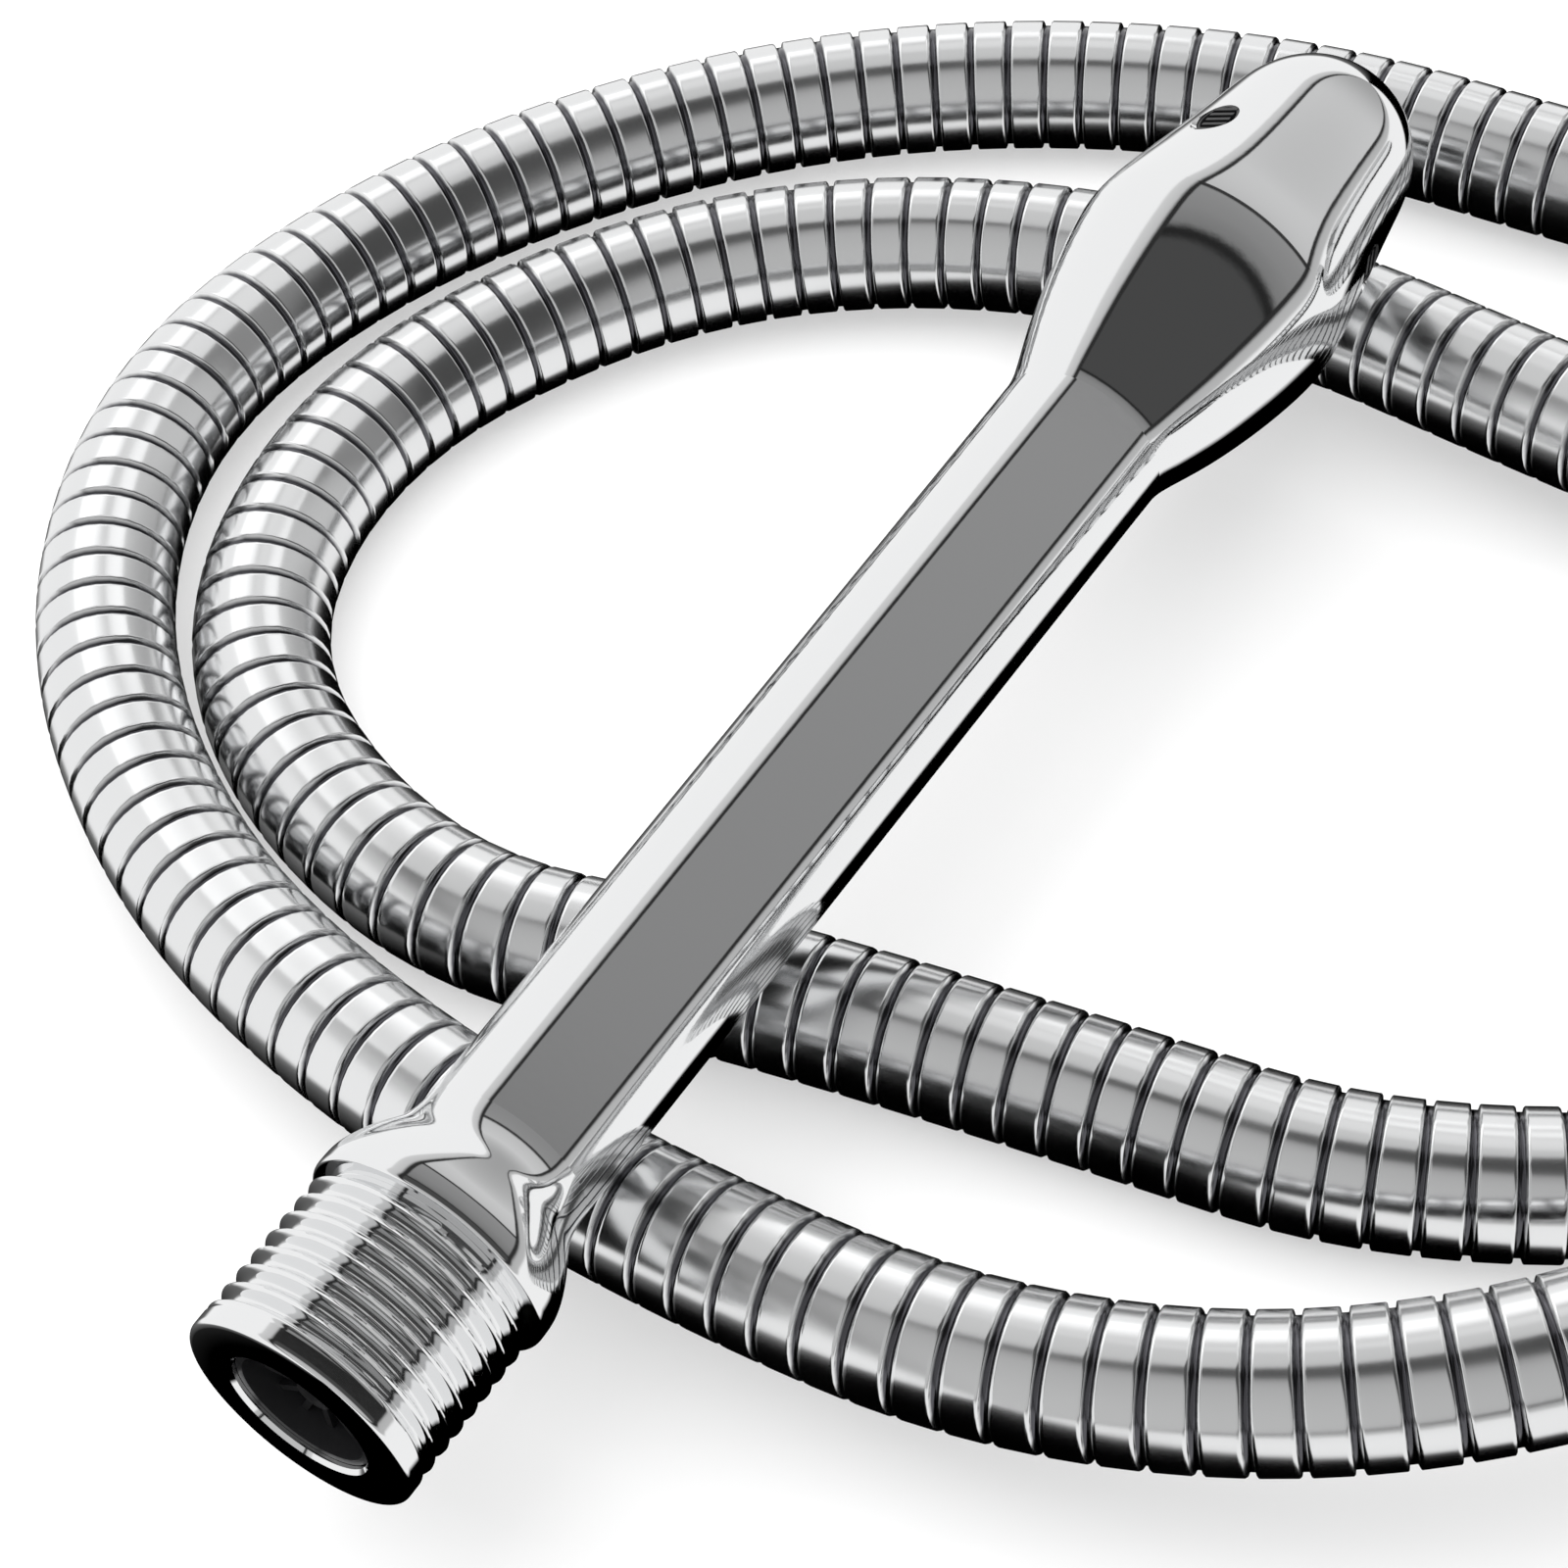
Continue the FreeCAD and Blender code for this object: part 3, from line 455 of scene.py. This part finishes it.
def jet_cutter():
    """Three drills that widen where they break the surface."""
    drill = bmesh.new()
    for angle in JET_ANGLES:
        rings = []
        for height, radius in straight(DRILL_OUTLINE):
            ring = []
            for side in range(DRILL_SIDES):
                turn = 2 * math.pi * side / DRILL_SIDES
                spot = Vector((JET_PLACE + radius * math.cos(turn), radius * math.sin(turn), height))
                ring.append(drill.verts.new(axis_turn(angle) @ spot))
            rings.append(ring)
        for first, second in zip(rings, rings[1:]):
            for side in range(DRILL_SIDES):
                after = (side + 1) % DRILL_SIDES
                drill.faces.new((first[side], first[after], second[after], second[side]))
        drill.faces.new(rings[0][::-1])
        drill.faces.new(rings[-1])
    bmesh.ops.recalc_face_normals(drill, faces=drill.faces)
    mesh = bpy.data.meshes.new("jet_drills")
    drill.to_mesh(mesh)
    drill.free()
    return mesh_piece("jet_drills", mesh)


cap_blank = mesh_piece("cap_blank", spun_mesh("cap_blank", cap_outline))
drills = jet_cutter()
bore = cap_blank.modifiers.new("jets", "BOOLEAN")
bore.object = drills
bore.operation = "DIFFERENCE"
bore.solver = "EXACT"
cap = baked(cap_blank, "cap")
bpy.data.objects.remove(drills)
cap.data.materials.clear()
cap.data.materials.append(polished)
finish_mesh(cap.data)
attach(cap, "wand")
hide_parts("head_cap")


# Inlet strainer: a black moulded sleeve pressed into the bore, with a ring of fins that stop grit
# and a flat hub in the middle.
FINS = 14
FIN_SIZE = (5.0, 0.6, 4.0)
FIN_MIDDLE = (5.1, 0, 3.6)
STRAINER_SIDES = 96
STRAINER_OUTLINE = [
    (0.7, 6.34), (0.7, 5.75), (7.6, 5.45), (7.6, 2.0), (2.6, 2.0), (2.0, 1.5), (1.8, 0.0), (8.9, 0.0),
    (8.9, 6.34),
]
MATT_GRAIN = 1500.0


def moulded(name, color, roughness):
    """Moulded plastic or rubber with a fine matt grain."""
    material = bpy.data.materials.new(name)
    material.use_nodes = True
    tree = material.node_tree
    shader = tree.nodes["Principled BSDF"]
    shader.inputs["Base Color"].default_value = (*color, 1.0)
    add, join = node_tree_tools(tree)
    place = add("ShaderNodeTexCoord")
    fine = add("ShaderNodeTexNoise", Scale=MATT_GRAIN, Detail=3.0)
    join(place, "Object", fine, "Vector")
    gloss = add("ShaderNodeMapRange")
    gloss.inputs["To Min"].default_value = roughness * 0.8
    gloss.inputs["To Max"].default_value = roughness * 1.25
    join(fine, "Fac", gloss, "Value")
    join(gloss, "Result", shader, "Roughness")
    rough = add("ShaderNodeBump", Strength=0.15, Distance=0.0001)
    join(fine, "Fac", rough, "Height")
    join(rough, "Normal", shader, "Normal")
    return material


black_plastic = moulded("black_plastic", (0.012, 0.012, 0.013), 0.35)


def bar_tree():
    """A row or a ring of equal bars, each lying out from the X axis."""
    tree = bpy.data.node_groups.new("bars", "GeometryNodeTree")
    face = tree.interface
    face.new_socket("Geometry", in_out="INPUT", socket_type="NodeSocketGeometry")
    for name, kind in (("Count", "Int"), ("Size", "Vector"), ("Middle", "Vector"), ("Step", "Vector"),
                       ("Turn", "Float")):
        face.new_socket(name, in_out="INPUT", socket_type="NodeSocket" + kind)
    face.new_socket("Geometry", in_out="OUTPUT", socket_type="NodeSocketGeometry")
    add, join = node_tree_tools(tree)
    start, end = add("NodeGroupInput"), add("NodeGroupOutput")
    cube = add("GeometryNodeMeshCube")
    join(start, "Size", cube, "Size")
    out = add("GeometryNodeTransform")
    join(cube, "Mesh", out, "Geometry")
    join(start, "Middle", out, "Translation")
    row = add("GeometryNodeMeshLine")
    join(start, "Count", row, "Count")
    join(start, "Step", row, "Offset")
    index = add("GeometryNodeInputIndex")
    angle = add("ShaderNodeMath", operation="MULTIPLY")
    join(index, "Index", angle, 0)
    join(start, "Turn", angle, 1)
    spin = add("ShaderNodeCombineXYZ")
    join(angle, "Value", spin, "X")
    put = add("GeometryNodeInstanceOnPoints")
    join(row, "Mesh", put, "Points")
    join(out, "Geometry", put, "Instance")
    join(spin, "Vector", put, "Rotation")
    real = add("GeometryNodeRealizeInstances")
    join(put, "Instances", real, "Geometry")
    paint = add("GeometryNodeSetMaterial", Material=black_plastic)
    join(real, "Geometry", paint, "Geometry")
    join(paint, "Geometry", end, "Geometry")
    return tree


BARS = bar_tree()


def bars(name, count, size, middle, step=(0, 0, 0), turn=0.0):
    """Bars of one size, in millimetres, as a plain mesh piece."""
    holder = mesh_piece(name + "_holder", bpy.data.meshes.new(name + "_holder"))
    modifier = holder.modifiers.new("bars", "NODES")
    modifier.node_group = BARS
    values = {
        "Count": count,
        "Size": [length * MM for length in size],
        "Middle": [length * MM for length in middle],
        "Step": [length * MM for length in step],
        "Turn": turn,
    }
    for socket in BARS.interface.items_tree:
        if socket.name in values:
            modifier[socket.identifier] = values[socket.name]
    return baked(holder, name)


def merged(name, pieces):
    """Several black plastic meshes as one piece."""
    whole = bmesh.new()
    for piece in pieces:
        whole.from_mesh(piece.data)
        bpy.data.objects.remove(piece)
    mesh = bpy.data.meshes.new(name)
    whole.to_mesh(mesh)
    whole.free()
    return mesh_piece(name, mesh, black_plastic)


sleeve_mesh = spun_mesh("strainer_sleeve", straight(STRAINER_OUTLINE), STRAINER_SIDES)
sleeve = mesh_piece("strainer_sleeve", sleeve_mesh)
fins = bars("fins", FINS, FIN_SIZE, FIN_MIDDLE, turn=2 * math.pi / FINS)
strainer = merged("strainer", [sleeve, fins])
finish_mesh(strainer.data)
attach(strainer, "wand")
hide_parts("inlet_strainer")


# Jet inserts: three black moulded bushes pressed in from inside until their shoulders meet the
# cap's wall. Fine ribs cross each mouth.
SLATS = 5
SLAT_STEP = 0.72
SLAT_SIZE = (0.34, 2.7, 0.9)
SLAT_HEIGHT = 10.7
CUP_SIDES = 40
CUP_OUTLINE = [
    (-8.2, 0.0), (-8.2, 2.45), (-8.6, 2.45), (-8.6, 2.05), (-11.1, 2.05), (-11.1, 1.8), (-10.2, 1.7),
    (-10.2, 0.0),
]
cup_to_jet = Matrix.Translation((JET_PLACE, 0, 0)) @ Matrix.Rotation(math.radians(90), 4, "Y")
slats_to_jet = Matrix.Translation((JET_PLACE - SLAT_STEP * MM * (SLATS - 1) / 2, 0, 0))
bushes = []
for angle in JET_ANGLES:
    cup = mesh_piece("bush_cup", spun_mesh("bush_cup", straight(CUP_OUTLINE), CUP_SIDES))
    cup.data.transform(cup_to_jet)
    slats = bars("slats", SLATS, SLAT_SIZE, (0, 0, SLAT_HEIGHT), step=(SLAT_STEP, 0, 0))
    slats.data.transform(slats_to_jet)
    for piece in (cup, slats):
        piece.data.transform(axis_turn(angle))
        bushes.append(piece)
inserts = merged("inserts", bushes)
finish_mesh(inserts.data)
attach(inserts, "wand")
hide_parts("jet_inserts")


# Valve spring: a coil of round spring wire on the poppet's stem, between its head and the cage. It
# shortens as the poppet opens.
SPRING_TURNS = 5
SPRING_WIRE = 0.2 * MM
STEPS_PER_TURN = 24
COIL_SHARP_DEGREES = 60
spring_steel = chrome("spring_steel", (0.55, 0.55, 0.56), 0.25)
spring_low, spring_high = (Vector(corner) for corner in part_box("valve_spring"))
coil_radius = (spring_high.y - spring_low.y) / 2 - SPRING_WIRE
coil_steps = SPRING_TURNS * STEPS_PER_TURN
coil_advance = (spring_high.x - spring_low.x - 2 * SPRING_WIRE) / coil_steps
coil_points = []
for step in range(coil_steps + 1):
    angle = 2 * math.pi * step / STEPS_PER_TURN
    x = spring_low.x + SPRING_WIRE + step * coil_advance
    coil_points.append((x, coil_radius * math.sin(angle), coil_radius * math.cos(angle)))
coil = smooth_curve("coil", coil_points, order=4, resolution=2)
coil.data.bevel_depth = SPRING_WIRE
coil.data.bevel_resolution = 2
coil.data.use_fill_caps = True
graph = bpy.context.evaluated_depsgraph_get()
coil_mesh = bpy.data.meshes.new_from_object(coil.evaluated_get(graph))
bpy.data.objects.remove(coil)
finish_mesh(coil_mesh, COIL_SHARP_DEGREES)
spring = mesh_piece("spring", coil_mesh, spring_steel)
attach(spring, "wand")
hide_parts("valve_spring")
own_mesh(spring)


# Pieces that keep their plain shapes: the core, valve and seals inside the wand, and the nuts,
# ferrules, tails, washers and glide ring at the hose's ends. Each gets the finish of its slot.
FINISHES = {
    "black_plastic": black_plastic,
    "seal_rubber": moulded("seal_rubber", (0.025, 0.025, 0.025), 0.6),
    "white_plastic": moulded("white_plastic", (0.75, 0.75, 0.73), 0.4),
    "brass": chrome("turned_brass", (0.80, 0.60, 0.28), 0.22),
    "polished_chrome": polished,
}
for part in frame["record"]["subparts"]:
    node = frame["nodes"][part["node"]]
    if not node.hide_render:
        node.data.materials.clear()
        node.data.materials.append(FINISHES[part["material_slot"]])


# Studio floor: a pale matt sheet just under the hose. It glows a little, so that shadows on it stay
# light, and polished pieces don't mirror it.
FLOOR_HALF = 1.2
FLOOR_GAP = 0.1 * MM
floor_corners = [(x * FLOOR_HALF, y * FLOOR_HALF, FLOOR - FLOOR_GAP)
                 for x, y in ((-1, -1), (1, -1), (1, 1), (-1, 1))]
floor_mesh = bpy.data.meshes.new("floor")
floor_mesh.from_pydata(floor_corners, [], [(0, 1, 2, 3)])
floor_material = bpy.data.materials.new("pale_floor")
floor_material.use_nodes = True
floor_shader = floor_material.node_tree.nodes["Principled BSDF"]
floor_shader.inputs["Base Color"].default_value = (0.5, 0.5, 0.5, 1.0)
floor_shader.inputs["Emission Color"].default_value = (1.0, 1.0, 1.0, 1.0)
floor_shader.inputs["Emission Strength"].default_value = 0.48
floor_shader.inputs["Roughness"].default_value = 0.9
floor_shader.inputs["Specular IOR Level"].default_value = 0.1
floor = mesh_piece("floor", floor_mesh, floor_material)
floor.visible_glossy = False


# Studio panels: long panels run beside the wand, white to both sides, with nothing below. Overhead
# they differ from inlet to tip: pale behind the inlet, dark straight above, grey further on and pale
# beyond the tip, with thin black gaps between. Each stop is a place and a grey level.
SIDES = [(-180, 0.0), (-150, 0.0), (-144, 1.0), (-96, 1.0), (-93, 0.55), (-86, 0.5), (-83, 0.03),
         (-79, 0.03), (27, 0.03), (31, 0.03), (34, 0.6), (42, 0.7), (44, 1.0), (118, 1.0), (126, 0.15),
         (150, 0.0), (180, 0.0)]
OVERHEAD = [(-180, 0.0), (-80, 0.0), (-79, 1.0), (27, 1.0), (28, 0.0), (180, 0.0)]
ALONG = [(0.0, 0.60), (0.30, 0.50), (0.37, 0.40), (0.40, 0.10), (0.46, 0.07), (0.64, 0.07), (0.652, 0.02),
         (0.662, 0.02), (0.672, 0.22), (0.70, 0.27), (0.785, 0.31), (0.793, 0.03), (0.803, 0.03),
         (0.815, 0.58), (0.92, 0.66), (1.0, 0.4)]
# Sockets of a colour mix, which share their names with other kinds of mix.
MIX_FACTOR, MIX_FIRST, MIX_SECOND, MIX_RESULT = 0, 6, 7, 2
world = bpy.data.worlds.new("studio")
bpy.context.scene.world = world
world.use_nodes = True
tree = world.node_tree
add, join = node_tree_tools(tree)


def grey_ramp(source, output, stops):
    """A ramp of grey levels."""
    ramp = add("ShaderNodeValToRGB")
    marks = ramp.color_ramp.elements
    while len(marks) < len(stops):
        marks.new(0.5)
    for mark, (position, level) in zip(marks, stops):
        mark.position = position
        mark.color = (level, level, level, 1.0)
    join(source, output, ramp, "Fac")
    return ramp


def around(degrees):
    """Where an angle about the wand's axis lies on a ramp: 0 is straight up, 90 is towards +Y."""
    return (degrees + 180.0) / 360.0


place = add("ShaderNodeTexCoord")
split = add("ShaderNodeSeparateXYZ")
join(place, "Generated", split, "Vector")
turn = add("ShaderNodeMath", operation="ARCTAN2")
join(split, "Y", turn, 0)
join(split, "Z", turn, 1)
share = add("ShaderNodeMapRange")
share.inputs["From Min"].default_value = -math.pi
share.inputs["From Max"].default_value = math.pi
join(turn, "Value", share, "Value")
panels = grey_ramp(share, "Result", [(around(turned), level) for turned, level in SIDES])
gap = grey_ramp(share, "Result", [(around(turned), level) for turned, level in OVERHEAD])
reach = add("ShaderNodeMapRange")
reach.inputs["From Min"].default_value = -1.0
join(split, "X", reach, "Value")
along = grey_ramp(reach, "Result", ALONG)
mix = add("ShaderNodeMix", data_type="RGBA")
join(gap, "Color", mix, MIX_FACTOR)
join(panels, "Color", mix, MIX_FIRST)
join(along, "Color", mix, MIX_SECOND)
background = tree.nodes["Background"]
join(mix, MIX_RESULT, background, "Color")
background.inputs["Strength"].default_value = 1.0


# Studio lights: a large softbox overhead for everything, and a second one that works on the hose
# alone and puts a pale stripe along the top of its bands.
def soft_light(name, place, aim, width, power):
    """A square softbox."""
    data = bpy.data.lights.new(name, "AREA")
    data.size = width
    data.energy = power
    light = bpy.data.objects.new(name, data)
    bpy.context.collection.objects.link(light)
    turn = (Vector(aim) - Vector(place)).to_track_quat("-Z", "Y")
    light.matrix_world = Matrix.Translation(place) @ turn.to_matrix().to_4x4()
    light.visible_glossy = False
    return light


soft_light("overhead", place=(0.1, 0.1, 1.2), aim=(0.1, 0, 0), width=1.6, power=26.0)
hose_box = soft_light("hose_stripe", place=(0.55, 0.45, 0.95), aim=(0.08, 0, 0), width=1.3, power=3.2)
hose_box.visible_glossy = True
only_hose = bpy.data.collections.new("lit_by_hose_stripe")
only_hose.objects.link(armour)
hose_box.light_linking.receiver_collection = only_hose
view = bpy.context.scene.view_settings
view.view_transform = "Standard"
view.exposure = 0.0
